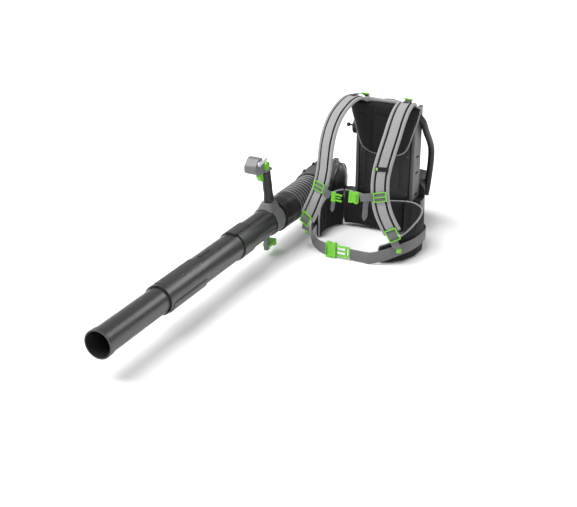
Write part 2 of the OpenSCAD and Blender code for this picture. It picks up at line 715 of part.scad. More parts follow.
module chest_webbing_right() {
    color(web_grey) {
        strip(curve(chest_right_route, 3), [0, 0, 1], thin_web, 1.6);
        strip(curve(chest_right_tail, 3), [1, 0.6, 0], 13, 1.4);
    }
}
module chest_buckle_female() {
    color(vivid_green) translate([20, -296, 219]) rotate([0, 3, 0]) difference() {
        translate([-15, -6, -18]) cube([30, 12, 36]);
        translate([-16, -3.6, -13]) cube([26, 7.2, 26]);
    }
}
module chest_buckle_male() {
    color(vivid_green) translate([-44, -296, 209]) rotate([0, 4, 0]) {
        translate([-12, -4, -16]) cube([13, 8, 32]);
        for (z = [-12, 7])
            translate([0, -3, z]) cube([24, 6, 5]);
        translate([0, -2, -2]) cube([20, 4, 4]);
    }
}
adjuster_at = [150, -286, 112];
module strap_adjusters() {
    color(vivid_green) for (side = [1, -1])
        translate([side * adjuster_at.x, adjuster_at.y, adjuster_at.z]) rotate([3, side * -26, side * 15])
            slide_bar(38, 42, 5);
}
lower_left_route = [[151, -279, 96], [156, -276, 78], [162, -268, 62]];
lower_right_route = [[-151, -279, 96], [-157, -272, 76], [-168, -248, 56]];
module lower_webbings() {
    color(web_grey) {
        strip(curve(lower_left_route, 3), strap_across, thin_web, 1.6);
        strip(curve(lower_right_route, 3), [-strap_across.x, strap_across.y, 0], thin_web, 1.6);
    }
}
module hip_loops() {
    color(vivid_green) {
        translate([163, -262, 52]) rotate([0, 0, 30]) cube([16, 5, 14], center = true);
        translate([-169, -240, 48]) rotate([0, 0, -30]) cube([16, 5, 14], center = true);
    }
}
waist_left_route = [[188, -96, 52], [192, -130, 54], [190, -168, 54], [182, -206, 53], [164, -240, 50],
    [142, -264, 44], [112, -280, 34], [80, -288, 24], [44, -292, 21], [11, -292, 22]];
waist_right_route = [[-184, -84, 48], [-187, -112, 46], [-186, -146, 42], [-180, -176, 36],
    [-166, -208, 30], [-144, -240, 25], [-110, -270, 22], [-75, -289, 24]];
module waist_webbing_left() {
    color(web_grey) strip(curve(waist_left_route, 3), [0, 0, 1], waist_web, 2);
}
module waist_webbing_right() {
    color(web_grey) strip(curve(waist_right_route, 3), [0, 0, 1], waist_web, 2);
}
module waist_buckle_female() {
    color(vivid_green) translate([-56, -292, 26]) difference() {
        translate([-16, -8, -25]) cube([34, 16, 50]);
        translate([-6, -4.6, -19]) cube([26, 9.2, 38]);
    }
}
module waist_buckle_male() {
    color(vivid_green) translate([-10, -292, 26]) {
        difference() {
            translate([-38, -4, -18]) cube([58, 8, 36]);
            for (z = [-13, 2])
                translate([-30, -5, z]) cube([34, 10, 11]);
            translate([10, -5, -14]) cube([5, 10, 28]);
        }
    }
}
module label_patch() {
    color(dark) translate([97.4, -265.4, 313]) rotate([-20, 0, 15])
        translate([-20, -1.4, -7]) cube([40, 1.4, 14]);
}

back_plate();
side_rail(1);  // side_rail_left
side_rail(-1);  // side_rail_right
fan_housing_front();
fan_housing_rear();
intake_grille();
outlet_collar();
motor_stator();
shaft_bearings();
motor_controller();
battery_bay();
carry_handle();
guard_bar(1);  // guard_bar_left
guard_bar(-1);  // guard_bar_right
tube_hook();
base_feet();
frame_screws();
upper_pad();
lumbar_pad();
hip_wing_left();
hip_wing_right();
shoulder_strap(1);  // shoulder_strap_left
shoulder_strap(-1);  // shoulder_strap_right
load_lifter_webbing();
load_lifter_buckles();
chest_sliders();
chest_webbing_left();
chest_webbing_right();
chest_buckle_female();
chest_buckle_male();
strap_adjusters();
lower_webbings();
hip_loops();
waist_webbing_left();
waist_webbing_right();
waist_buckle_female();
waist_buckle_male();
label_patch();
fan_impeller();
motor_shaft();
battery_pack();
battery_latch();
elbow_shell();
elbow_cover();
control_cable();
cable_clips();
pleated_hose();
hose_front_cuff();
control_pipe();
pipe_coupling();
mid_tube();
nozzle();
handle_clamp();
clamp_lever();
clamp_pin();
grip_rubber();
control_head();
trigger();
thumb_button();
cruise_lever();
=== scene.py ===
"""Backpack leaf blower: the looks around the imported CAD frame. Metres, in the CAD frame."""
import json
import math
from math import cos, pi, radians, sin

import bmesh
import bpy
from mathutils import Euler, Matrix, Vector

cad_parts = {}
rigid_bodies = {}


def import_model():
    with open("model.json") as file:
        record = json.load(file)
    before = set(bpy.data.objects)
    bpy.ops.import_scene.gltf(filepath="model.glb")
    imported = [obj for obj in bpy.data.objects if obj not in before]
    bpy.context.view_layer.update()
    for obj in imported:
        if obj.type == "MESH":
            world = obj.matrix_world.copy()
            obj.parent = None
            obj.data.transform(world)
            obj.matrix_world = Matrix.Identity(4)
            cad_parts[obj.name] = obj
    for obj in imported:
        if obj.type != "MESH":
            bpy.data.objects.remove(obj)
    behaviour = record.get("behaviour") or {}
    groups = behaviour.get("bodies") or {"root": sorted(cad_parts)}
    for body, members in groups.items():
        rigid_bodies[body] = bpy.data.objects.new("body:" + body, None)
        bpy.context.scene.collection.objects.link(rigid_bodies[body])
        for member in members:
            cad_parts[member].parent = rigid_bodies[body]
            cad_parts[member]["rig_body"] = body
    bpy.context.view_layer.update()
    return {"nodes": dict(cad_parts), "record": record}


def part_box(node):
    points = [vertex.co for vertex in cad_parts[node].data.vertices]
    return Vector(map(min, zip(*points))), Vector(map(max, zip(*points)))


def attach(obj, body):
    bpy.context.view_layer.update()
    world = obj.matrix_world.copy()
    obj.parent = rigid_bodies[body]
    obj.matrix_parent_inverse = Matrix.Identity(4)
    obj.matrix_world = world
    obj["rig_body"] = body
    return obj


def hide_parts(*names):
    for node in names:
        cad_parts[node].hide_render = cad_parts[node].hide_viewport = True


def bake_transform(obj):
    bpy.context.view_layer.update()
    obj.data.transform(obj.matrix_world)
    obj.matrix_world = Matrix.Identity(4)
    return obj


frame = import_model()
scene = bpy.context.scene
MM = 0.001

# ---------------------------------------------------------------- camera, light, floor
AZIMUTH, ELEVATION = radians(26.7), radians(24.0)
SENSOR_WIDTH, LENS = 36.0, 69.87868
EYE = Vector((1.298, -3.288, 1.474))


def make_camera():
    data = bpy.data.cameras.new("camera")
    data.sensor_width = SENSOR_WIDTH
    data.lens = LENS
    data.clip_end = 300
    camera = bpy.data.objects.new("camera", data)
    scene.collection.objects.link(camera)
    right = Vector((cos(AZIMUTH), sin(AZIMUTH), 0))
    back = Vector((sin(AZIMUTH) * cos(ELEVATION), -cos(AZIMUTH) * cos(ELEVATION), sin(ELEVATION)))
    up = back.cross(right)
    turn = Matrix((right, up, back)).transposed().to_4x4()
    camera.matrix_world = Matrix.Translation(EYE) @ turn
    scene.camera = camera


def area_light(name, place, target, size, power):
    data = bpy.data.lights.new(name, "AREA")
    data.shape = "RECTANGLE"
    data.size, data.size_y = size
    data.energy = power
    light = bpy.data.objects.new(name, data)
    scene.collection.objects.link(light)
    light.location = place
    light.rotation_euler = (Vector(target) - Vector(place)).to_track_quat("-Z", "Y").to_euler()


def make_studio():
    world = bpy.data.worlds.new("studio")
    scene.world = world
    world.use_nodes = True
    world.node_tree.nodes["Background"].inputs["Color"].default_value = (1, 1, 1, 1)
    world.node_tree.nodes["Background"].inputs["Strength"].default_value = 0.42
    data = bpy.data.lights.new("sky", "SUN")
    data.energy = 3.1
    data.angle = radians(38)
    sun = bpy.data.objects.new("sky", data)
    scene.collection.objects.link(sun)
    sun.rotation_euler = Vector((0.30, 0.34, -1.0)).to_track_quat("-Z", "Y").to_euler()
    area_light("left_panel", (-2.4, -0.6, 2.2), (-0.2, -0.6, 0.1), (3.0, 1.0), 40)
    area_light("front", (1.9, -3.4, 1.6), (0, -0.3, 0.2), (1.8, 1.4), 12)
    area_light("rim", (1.6, 2.6, 2.4), (0, 0, 0.2), (2.2, 1.6), 40)
    make_floor()
    scene.view_settings.view_transform = "Standard"


def make_floor():
    """A wide pale floor, half a millimetre under the ground, clear of what stands on it."""
    mesh = bpy.data.meshes.new("floor")
    reach = 60
    mesh.from_pydata([(-reach, -reach, 0), (reach, -reach, 0), (reach, reach, 0), (-reach, reach, 0)],
                     [], [(0, 1, 2, 3)])
    floor = bpy.data.objects.new("floor", mesh)
    scene.collection.objects.link(floor)
    floor.location.z = -0.0005
    paint = bpy.data.materials.new("floor_paint")
    paint.use_nodes = True
    shader = paint.node_tree.nodes["Principled BSDF"]
    shader.inputs["Base Color"].default_value = (0.93, 0.93, 0.93, 1)
    shader.inputs["Roughness"].default_value = 0.7
    shader.inputs["Specular IOR Level"].default_value = 0.1
    mesh.materials.append(paint)


# ---------------------------------------------------------------- materials
class Nodes:
    """A material's node tree, with short ways to add and join nodes."""

    def __init__(self, name):
        self.material = bpy.data.materials.new(name)
        self.material.use_nodes = True
        self.tree = self.material.node_tree
        self.shader = self.tree.nodes["Principled BSDF"]
        self.place = self.add("ShaderNodeTexCoord").outputs["Object"]

    def add(self, kind, **values):
        node = self.tree.nodes.new(kind)
        for key, value in values.items():
            setattr(node, key, value)
        return node

    def join(self, out, into):
        self.tree.links.new(out, into)

    def noise(self, scale, detail, rough=0.55, place=None):
        node = self.add("ShaderNodeTexNoise")
        node.inputs["Scale"].default_value = scale
        node.inputs["Detail"].default_value = detail
        node.inputs["Roughness"].default_value = rough
        self.join(place or self.place, node.inputs["Vector"])
        return node.outputs["Fac"]

    def cells(self, scale):
        node = self.add("ShaderNodeTexVoronoi", feature="F1")
        node.inputs["Scale"].default_value = scale
        self.join(self.place, node.inputs["Vector"])
        return node.outputs["Distance"]

    def math(self, kind, a, b=None):
        node = self.add("ShaderNodeMath", operation=kind)
        for socket, value in zip(node.inputs, (a, b)):
            if value is None:
                continue
            if isinstance(value, (int, float)):
                socket.default_value = value
            else:
                self.join(value, socket)
        return node.outputs[0]

    def spread(self, value, low, high, to_low, to_high):
        node = self.add("ShaderNodeMapRange")
        for key, number in (("From Min", low), ("From Max", high), ("To Min", to_low), ("To Max", to_high)):
            node.inputs[key].default_value = number
        self.join(value, node.inputs["Value"])
        return node.outputs["Result"]

    def blend_colours(self, value, dark, light):
        node = self.add("ShaderNodeMix", data_type="RGBA")
        node.inputs[6].default_value = (*dark, 1)
        node.inputs[7].default_value = (*light, 1)
        self.join(value, node.inputs[0])
        return node.outputs[2]

    def bump(self, height, depth, strength=1.0, under=None):
        node = self.add("ShaderNodeBump")
        node.inputs["Distance"].default_value = depth
        node.inputs["Strength"].default_value = strength
        self.join(height, node.inputs["Height"])
        if under is not None:
            self.join(under, node.inputs["Normal"])
        return node.outputs["Normal"]

    def set(self, **values):
        for key, value in values.items():
            self.shader.inputs[key.replace("_", " ")].default_value = value


def shade(colour, factor):
    """A darker or lighter colour of the same hue."""
    return tuple(min(1, c * factor) for c in colour)


def moulded(name, colour, rough, grain=0.00006, grain_scale=1700, edge=1.5, coat=0.0):
    """Moulded plastic: fine spark-eroded grain, faint colour drift, and edges that are paler by the
    factor edge, partly rubbed wear and partly a painted highlight."""
    m = Nodes(name)
    drift = m.noise(9, 4)
    fine = m.noise(grain_scale, 2, 0.6)
    base = m.blend_colours(m.spread(drift, 0.3, 0.7, 0, 1), shade(colour, 0.9), shade(colour, 1.1))
    edge_wear_and_highlight = m.add("ShaderNodeMix", data_type="RGBA")
    point = m.add("ShaderNodeNewGeometry").outputs["Pointiness"]
    edge_wear_and_highlight_mask = m.math("MULTIPLY", m.spread(point, 0.52, 0.62, 0, 0.5), m.spread(m.noise(60, 4), 0.4, 0.7, 0.2, 1))
    m.join(edge_wear_and_highlight_mask, edge_wear_and_highlight.inputs[0])
    m.join(base, edge_wear_and_highlight.inputs[6])
    # the paler edge colour is partly rubbed wear and partly a painted highlight
    edge_wear_and_highlight.inputs[7].default_value = (*shade(colour, edge), 1)
    m.join(edge_wear_and_highlight.outputs[2], m.shader.inputs["Base Color"])
    smear = m.noise(22, 5, 0.65)
    m.join(m.spread(smear, 0.3, 0.7, rough - 0.05, rough + 0.07), m.shader.inputs["Roughness"])
    m.join(m.bump(fine, grain), m.shader.inputs["Normal"])
    m.set(Coat_Weight=coat, Coat_Roughness=0.25)
    return m.material


def rubber(name, colour, rough):
    """Rubber with a little dust, and paler crests that are a painted highlight."""
    m = Nodes(name)
    dust = m.noise(35, 5, 0.7)
    base = m.blend_colours(m.spread(dust, 0.35, 0.75, 0, 1), shade(colour, 0.85), shade(colour, 1.35))
    # painted highlight: the pointed crests blend to a paler colour
    crest = m.add("ShaderNodeMix", data_type="RGBA")
    point = m.add("ShaderNodeNewGeometry").outputs["Pointiness"]
    m.join(m.spread(point, 0.52, 0.60, 0, 1), crest.inputs[0])
    m.join(base, crest.inputs[6])
    crest.inputs[7].default_value = (*shade(colour, 1.35), 1)
    m.join(crest.outputs[2], m.shader.inputs["Base Color"])
    m.join(m.spread(dust, 0.3, 0.7, rough - 0.06, rough + 0.08), m.shader.inputs["Roughness"])
    pits = m.noise(1200, 2, 0.6)
    m.join(m.bump(pits, 0.00008), m.shader.inputs["Normal"])
    m.set(Sheen_Weight=0.12, Sheen_Roughness=0.4)
    return m.material


def pleated_rubber(name, groove_painted_shade, crest, low, high):
    """Hose rubber: near black in the folds as painted shade, and paler on the crests as a painted
    highlight. The mesh's rib attribute is each point's distance from the axis, as a share of the crests'.
    The paler colour begins at the share low and is full at high."""
    m = Nodes(name)
    rib = m.add("ShaderNodeAttribute", attribute_name="rib").outputs["Fac"]
    # groove is the painted shade colour of the folds, crest the painted highlight colour of the crests
    m.join(m.blend_colours(m.spread(rib, low, high, 0, 1), groove_painted_shade, crest), m.shader.inputs["Base Color"])
    dust = m.noise(35, 5, 0.7)
    m.join(m.spread(dust, 0.3, 0.7, 0.24, 0.38), m.shader.inputs["Roughness"])
    m.join(m.bump(m.noise(1200, 2, 0.6), 0.00008), m.shader.inputs["Normal"])
    return m.material


def metal(name, colour, rough):
    """Brushed metal, with its streaks along X."""
    m = Nodes(name)
    stretch = m.add("ShaderNodeMapping")
    stretch.inputs["Scale"].default_value = (1, 40, 40)
    m.join(m.place, stretch.inputs["Vector"])
    lines = m.noise(90, 4, 0.6, stretch.outputs["Vector"])
    m.join(m.spread(lines, 0.3, 0.7, rough - 0.07, rough + 0.1), m.shader.inputs["Roughness"])
    m.join(m.blend_colours(lines, shade(colour, 0.85), colour), m.shader.inputs["Base Color"])
    m.join(m.bump(lines, 0.00002), m.shader.inputs["Normal"])
    m.set(Metallic=1.0)
    return m.material


MESH_HOLE = 0.0021


def spacer_mesh(name, colour):
    """Knitted spacer mesh: small holes over a darker backing."""
    m = Nodes(name)
    cells = m.cells(1 / MESH_HOLE)
    web = m.spread(cells, 0.30, 0.60, 0, 1)
    yarn = m.noise(1500, 3, 0.6)
    drift = m.noise(14, 3)
    mixed = m.blend_colours(m.math("MULTIPLY", web, m.spread(drift, 0.3, 0.7, 0.7, 1)), shade(colour, 0.55),
                            shade(colour, 1.25))
    m.join(mixed, m.shader.inputs["Base Color"])
    first = m.bump(web, 0.0003, 0.6)
    m.join(m.bump(yarn, 0.00012, 0.5, first), m.shader.inputs["Normal"])
    m.set(Roughness=0.85, Sheen_Weight=0.06, Sheen_Roughness=0.4, Specular_IOR_Level=0.2)
    return m.material


WEAVE_CONTRAST = 0.22


def woven(name, colour, rib, sheen=0.2):
    """Woven tape: ribs along the tape and picks across it. The piece's UV map is in metres."""
    m = Nodes(name)
    uv = m.add("ShaderNodeTexCoord").outputs["UV"]
    split = m.add("ShaderNodeSeparateXYZ")
    m.join(uv, split.inputs[0])
    across, along = split.outputs[0], split.outputs[1]
    turn = 2 * pi / rib
    ribs = m.math("SINE", m.math("MULTIPLY", across, turn))
    stagger = m.math("MULTIPLY", m.math("SIGN", ribs), pi / 2)
    picks = m.math("SINE", m.math("ADD", m.math("MULTIPLY", along, turn * 0.8), stagger))
    weave = m.math("ADD", m.math("MULTIPLY", m.math("ABSOLUTE", ribs), 0.6), m.math("MULTIPLY", picks, 0.3))
    fuzz = m.noise(900, 3, 0.6)
    tone = m.math("ADD", weave, m.math("MULTIPLY", fuzz, 0.5))
    dark, light = shade(colour, 1 - WEAVE_CONTRAST), shade(colour, 1 + WEAVE_CONTRAST)
    m.join(m.blend_colours(m.spread(tone, 0, 1.2, 0, 1), dark, light), m.shader.inputs["Base Color"])
    first = m.bump(weave, 0.0003, 0.8)
    m.join(m.bump(fuzz, 0.0001, 0.5, first), m.shader.inputs["Normal"])
    m.set(Roughness=0.8, Sheen_Weight=sheen, Sheen_Roughness=0.5, Specular_IOR_Level=0.3)
    return m.material


GREEN = (0.150, 0.52, 0.022)
MATERIALS = {}


def make_materials():
    black, charcoal, grey = (0.010, 0.010, 0.011), (0.028, 0.0285, 0.030), (0.062, 0.063, 0.066)
    MATERIALS.update({
        "frame_plastic": moulded("frame_black", black, 0.45, edge=2.6),
        "rail_plastic": moulded("rail_grey", grey, 0.42, edge=1.6),
        "housing_plastic": moulded("housing_charcoal", charcoal, 0.40, edge=2.0),
        # elbow plastic: a lighter copy of the charcoal housing plastic, painted light for the lit top of the
        # elbow
        "elbow_painted_lit_plastic": moulded("elbow_painted_lit_grey", (0.062, 0.063, 0.066), 0.34, edge=1.8, coat=0.2),
        "head_plastic": moulded("head_grey", (0.150, 0.151, 0.156), 0.40, edge=1.5),
        "tube_plastic": moulded("tube_charcoal", (0.024, 0.0245, 0.025), 0.30, 0.00004, 2200, 2.2, coat=0.25),
        # hose and grip rubber carry the painted crest highlight of rubber()
        "hose_rubber": rubber("hose_rubber", (0.011, 0.011, 0.012), 0.3),
        # pleat_rubber: near-black painted shade in the folds, pale painted highlight on the crests
        "pleat_rubber": pleated_rubber("pleat_rubber", (0.004, 0.004, 0.004), (0.15, 0.15, 0.155),
                                       0.91, 0.984),
        "grip_rubber": rubber("grip_rubber", (0.012, 0.012, 0.012), 0.5),
        "green_plastic": moulded("green_plastic", GREEN, 0.33, 0.00003, 1900, 1.25, coat=0.2),
        "pad_mesh": spacer_mesh("pad_mesh", (0.014, 0.014, 0.015)),
        "strap_fabric": woven("strap_face", (0.30, 0.30, 0.30), 0.0014),
        "web_grey": woven("webbing_grey", (0.135, 0.135, 0.14), 0.0016),
        "web_dark": woven("webbing_dark", (0.022, 0.022, 0.024), 0.0016),
        "steel": metal("bright_steel", (0.62, 0.62, 0.64), 0.28),
        "dark_steel": metal("blackened_steel", (0.10, 0.10, 0.11), 0.4),
        "silver_plastic": moulded("silver_plastic", (0.62, 0.63, 0.64), 0.32, edge=1.2),
        "battery_plastic": moulded("battery_plastic", (0.030, 0.030, 0.033), 0.45, edge=2.0),
        "binding": woven("binding_grey", (0.30, 0.30, 0.305), 0.0011),
        "thread": woven("black_thread", (0.008, 0.008, 0.009), 0.0008, sheen=0.05),
        "piping": woven("piping_grey", (0.27, 0.27, 0.28), 0.0010),
        "soft_black": woven("strap_back", (0.014, 0.014, 0.015), 0.0018),
    })


# ---------------------------------------------------------------- mesh tools
def new_object(name, mesh, material=None):
    piece = bpy.data.objects.new(name, mesh)
    scene.collection.objects.link(piece)
    if material is not None:
        mesh.materials.append(MATERIALS[material])
    return piece


def from_bmesh(name, bm, material=None, smooth=35):
    mesh = bpy.data.meshes.new(name)
    bmesh.ops.recalc_face_normals(bm, faces=bm.faces)
    bm.to_mesh(mesh)
    bm.free()
    piece = new_object(name, mesh, material)
    smooth_by_angle(piece, smooth)
    return piece


def smooth_by_angle(piece, degrees):
    mesh = piece.data
    for face in mesh.polygons:
        face.use_smooth = True
    bm = bmesh.new()
    bm.from_mesh(mesh)
    limit = radians(degrees)
    for edge in bm.edges:
        if len(edge.link_faces) == 2:
            edge.smooth = edge.calc_face_angle(0) < limit
    bm.to_mesh(mesh)
    bm.free()


def bake_modifiers(piece):
    """Writes what the piece's modifiers make into its mesh, and removes them."""
    graph = bpy.context.evaluated_depsgraph_get()
    made = bpy.data.meshes.new_from_object(piece.evaluated_get(graph))
    old = piece.data
    piece.modifiers.clear()
    piece.data = made
    bpy.data.meshes.remove(old)
    return piece


WELD = 0.02 * MM


def node_copy(node, name):
    """A welded copy of a CAD node's mesh, as a new piece."""
    bm = bmesh.new()
    bm.from_mesh(frame["nodes"][node].data)
    bmesh.ops.remove_doubles(bm, verts=bm.verts, dist=WELD)
    bmesh.ops.dissolve_degenerate(bm, dist=WELD / 2, edges=bm.edges)
    bmesh.ops.join_triangles(bm, faces=bm.faces, angle_face_threshold=radians(0.7),
                             angle_shape_threshold=radians(80))
    mesh = bpy.data.meshes.new(name)
    bm.to_mesh(mesh)
    bm.free()
    return new_object(name, mesh)


BEVEL_ANGLE, SMOOTH_ANGLE = 32, 30


def softened(node, material, width, segments=2, name=None, slot=None, cutters=()):
    """The CAD node's own shape with its sharp edges rounded over, in its place. width is in metres."""
    piece = node_copy(node, name or node + "_skin")
    carve(piece, cutters)
    piece.data.materials.append(MATERIALS[material])
    bevel = piece.modifiers.new("bevel", "BEVEL")
    bevel.width = width
    bevel.segments = segments
    bevel.limit_method = "ANGLE"
    bevel.angle_limit = radians(BEVEL_ANGLE)
    bevel.use_clamp_overlap = True
    bevel.harden_normals = False
    bake_modifiers(piece)
    smooth_by_angle(piece, SMOOTH_ANGLE)
    weigh_normals(piece)
    finish_piece(piece, node, slot or material)
    return piece


def carve(piece, cutters):
    """Cuts each cutter out of the piece, and removes the cutters."""
    for number, cutter in enumerate(cutters):
        cut = piece.modifiers.new(f"cut_{number}", "BOOLEAN")
        cut.operation = "DIFFERENCE"
        cut.solver = "EXACT"
        cut.object = cutter
    if cutters:
        bake_modifiers(piece)
        bm = bmesh.new()
        bm.from_mesh(piece.data)
        bmesh.ops.remove_doubles(bm, verts=bm.verts, dist=WELD)
        bm.to_mesh(piece.data)
        bm.free()
    for cutter in cutters:
        bpy.data.objects.remove(cutter)


def box_cutter(low, high):
    """A box between two corners, in millimetres."""
    bm = bmesh.new()
    middle = (Vector(low) + Vector(high)) / 2 * MM
    size = (Vector(high) - Vector(low)) * MM
    bmesh.ops.create_cube(bm, size=1, matrix=Matrix.Translation(middle) @ Matrix.Diagonal((*size, 1)))
    return from_bmesh("cutter", bm)


def rod_cutter(start, end, radius, sides=40):
    """A rod between two points, in millimetres."""
    a, b = Vector(start), Vector(end)
    bm = bmesh.new()
    place = Matrix.Translation((a + b) / 2 * MM) @ (b - a).to_track_quat("Z", "Y").to_matrix().to_4x4()
    bmesh.ops.create_cone(bm, cap_ends=True, segments=sides, radius1=radius * MM, radius2=radius * MM,
                          depth=(b - a).length * MM, matrix=place)
    return from_bmesh("cutter", bm)


def weigh_normals(piece):
    """Large faces keep a flat look, and only the rounded edges between them turn the light."""
    weigh = piece.modifiers.new("weigh", "WEIGHTED_NORMAL")
    weigh.keep_sharp = True
    weigh.weight = 80
    bake_modifiers(piece)


def finish_piece(piece, node, slot):
    """Rides the piece on its CAD node's body, in that node's place, and hides the node. slot is not used."""
    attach(piece, frame["nodes"][node]["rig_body"])
    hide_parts(node)


SLOT_OF = {s["node"]: s["material_slot"] for s in frame["record"]["subparts"]}


def smooth_route(points, steps):
    """A Catmull-Rom curve through points, the same as in the CAD source."""
    points = [Vector(p) for p in points]
    last = len(points) - 1
    made = []
    for i in range(last):
        a, b, c, d = points[max(i - 1, 0)], points[i], points[i + 1], points[min(i + 2, last)]
        for k in range(steps):
            t = k / steps
            made.append(0.5 * (2 * b + (c - a) * t + (2 * a - 5 * b + 4 * c - d) * t * t
                               + (3 * b - a - 3 * c + d) * t ** 3))
    made.append(points[last])
    return made


def directions(path, across):
    """For every point of a path: the way along it, the way across, and the way out of it."""
    made = []
    last = len(path) - 1
    for i in range(last + 1):
        t = (path[min(i + 1, last)] - path[max(i - 1, 0)]).normalized()
        hint = across(i / last) if callable(across) else Vector(across)
        w = (hint - hint.dot(t) * t).normalized()
        made.append((t, w, t.cross(w)))
    return made


def sweep(name, path, across, outline, material, smooth, zone=None):
    """A solid along a path. outline(i, share) gives points (across, out); path and outline are in
    millimetres. The UV map holds metres across and along. zone(k) picks a material for each strip."""
    ways = directions(path, across)
    bm = bmesh.new()
    uv = bm.loops.layers.uv.new("UVMap")
    last = len(path) - 1
    rings, lengths, run = [], [], 0
    for i, (p, (t, w, s)) in enumerate(zip(path, ways)):
        run += (p - path[i - 1]).length if i else 0
        lengths.append(run)
        points = outline(i, i / last)
        rings.append([bm.verts.new((p + w * a + s * b) * MM) for a, b in points])
        if i == 0:
            girth = [0]
            for k in range(len(points)):
                a, b = points[k], points[(k + 1) % len(points)]
                girth.append(girth[-1] + math.hypot(b[0] - a[0], b[1] - a[1]))
    count = len(rings[0])
    for i in range(last):
        for k in range(count):
            n = (k + 1) % count
            face = bm.faces.new((rings[i][k], rings[i + 1][k], rings[i + 1][n], rings[i][n]))
            if zone:
                face.material_index = zone(k, count, i / last)
            for loop, (u, v) in zip(face.loops, ((girth[k], lengths[i]), (girth[k], lengths[i + 1]),
                                                 (girth[k + 1], lengths[i + 1]), (girth[k + 1], lengths[i]))):
                loop[uv].uv = (u * MM, v * MM)
    for ring in (rings[0], list(reversed(rings[-1]))):
        face = bm.faces.new(ring)
        for loop in face.loops:
            loop[uv].uv = (loop.vert.co.x, loop.vert.co.z)
    return from_bmesh(name, bm, material, smooth)


def round_outline(radius, sides):
    ring = [(radius * cos(2 * pi * k / sides), radius * sin(2 * pi * k / sides)) for k in range(sides)]
    return lambda i, share: ring


def tape_outline(width, thick):
    """A flat tape's outline with rounded edges."""
    half, r, ends = width / 2, thick / 2, 3
    ring = []
    for side, start in ((1, -90), (-1, 90)):
        for k in range(ends + 1):
            a = radians(start + 180 * k / ends)
            ring.append((side * (half - r) + r * cos(a), r * sin(a)))
    return ring


def tube(name, path, radius, material, sides, hint=(0.3, 0.2, 1)):
    """A round bar or cord along a path, in millimetres."""
    return sweep(name, path, hint, round_outline(radius, sides), material, 60)


def joined(name, parts):
    """Several pieces made into one, which keeps each one's materials."""
    bm = bmesh.new()
    materials = []
    uv = bm.loops.layers.uv.new("UVMap")
    mesh = bpy.data.meshes.new(name)
    for part in parts:
        shift = {}
        for k, material in enumerate(part.data.materials):
            if material not in materials:
                materials.append(material)
            shift[k] = materials.index(material)
        first = len(bm.faces)
        part.data.transform(part.matrix_world)
        bm.from_mesh(part.data)
        bm.faces.ensure_lookup_table()
        for face in bm.faces[first:]:
            face.material_index = shift.get(face.material_index, 0)
        bpy.data.objects.remove(part)
    bm.to_mesh(mesh)
    bm.free()
    for material in materials:
        mesh.materials.append(material)
    return new_object(name, mesh)


def revolved(name, outline, material, place, sides, smooth):
    """A closed outline of (radius, distance forward), in millimetres, turned about the tube's axis.
    place is the axis point at distance 0; forward is -Y."""
    bm = bmesh.new()
    rings = [[bm.verts.new(((place.x + r * cos(2 * pi * k / sides)) * MM, (place.y - d) * MM,
                            (place.z + r * sin(2 * pi * k / sides)) * MM)) for k in range(sides)]
             for r, d in outline]
    for i in range(len(rings)):
        a, b = rings[i], rings[(i + 1) % len(rings)]
        for k in range(sides):
            n = (k + 1) % sides
            bm.faces.new((a[k], a[n], b[n], b[k]))
    return from_bmesh(name, bm, material, smooth)


def voxel_smooth(node, name, material, voxel, rounds, slot=None):
    """The CAD node's shape with flowing, moulded edges: remeshed in small cells and relaxed."""
    piece = node_copy(node, name)
    piece.data.materials.append(MATERIALS[material])
    remesh = piece.modifiers.new("remesh", "REMESH")
    remesh.mode = "VOXEL"
    remesh.voxel_size = voxel
    relax = piece.modifiers.new("relax", "SMOOTH")
    relax.factor = 0.5
    relax.iterations = rounds
    bake_modifiers(piece)
    for face in piece.data.polygons:
        face.use_smooth = True
    finish_piece(piece, node, slot or material)
    return piece


def box_mm(node):
    low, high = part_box(node)
    return low / MM, high / MM


# ---------------------------------------------------------------- pads
PIPE_R = 3.1


def near_path(point, path, reach):
    """Whether the point is within reach of any of the path's points."""
    return any((point - p).length < reach for p in path)


PAD_VOXEL = 0.0045
CLOTH_PRESSURE, CLOTH_FRAMES = 4.0, 20


def puffed(node, name, pins, cap, flatten):
    """A padded piece: the CAD pad's shape, blown up as cloth where pins(point) doesn't sew it down.
    cap is how far a point may move, and flatten(moved) then shapes the result. All in metres."""
    piece = node_copy(node, name)
    piece.data.materials.append(MATERIALS["pad_mesh"])
    remesh = piece.modifiers.new("remesh", "REMESH")
    remesh.mode = "VOXEL"
    remesh.voxel_size = PAD_VOXEL
    relax = piece.modifiers.new("relax", "SMOOTH")
    relax.factor = 0.5
    relax.iterations = 4
    bake_modifiers(piece)
    rest = [v.co.copy() for v in piece.data.vertices]
    held = piece.vertex_groups.new(name="sewn")
    for v in piece.data.vertices:
        weight = pins(v.co)
        if weight > 0:
            held.add([v.index], weight, "REPLACE")
    cloth = piece.modifiers.new("cloth", "CLOTH")
    cloth.settings.quality = 4
    cloth.settings.mass = 0.25
    cloth.settings.tension_stiffness = 12
    cloth.settings.compression_stiffness = 12
    cloth.settings.bending_stiffness = 0.6
    cloth.settings.use_pressure = True
    cloth.settings.uniform_pressure_force = CLOTH_PRESSURE
    cloth.settings.effector_weights.gravity = 0
    cloth.settings.vertex_group_mass = "sewn"
    cloth.collision_settings.use_collision = False
    cloth.point_cache.frame_start, cloth.point_cache.frame_end = 1, CLOTH_FRAMES
    for number in range(1, CLOTH_FRAMES + 1):
        scene.frame_set(number)
    bake_modifiers(piece)
    scene.frame_set(1)
    for v, start in zip(piece.data.vertices, rest):
        move = v.co - start
        if move.length > cap:
            v.co = start + move.normalized() * cap
        v.co = flatten(v.co)
    fine = piece.modifiers.new("fine", "SUBSURF")
    fine.levels = 1
    bake_modifiers(piece)
    for face in piece.data.polygons:
        face.use_smooth = True
    finish_piece(piece, node, "pad_mesh")


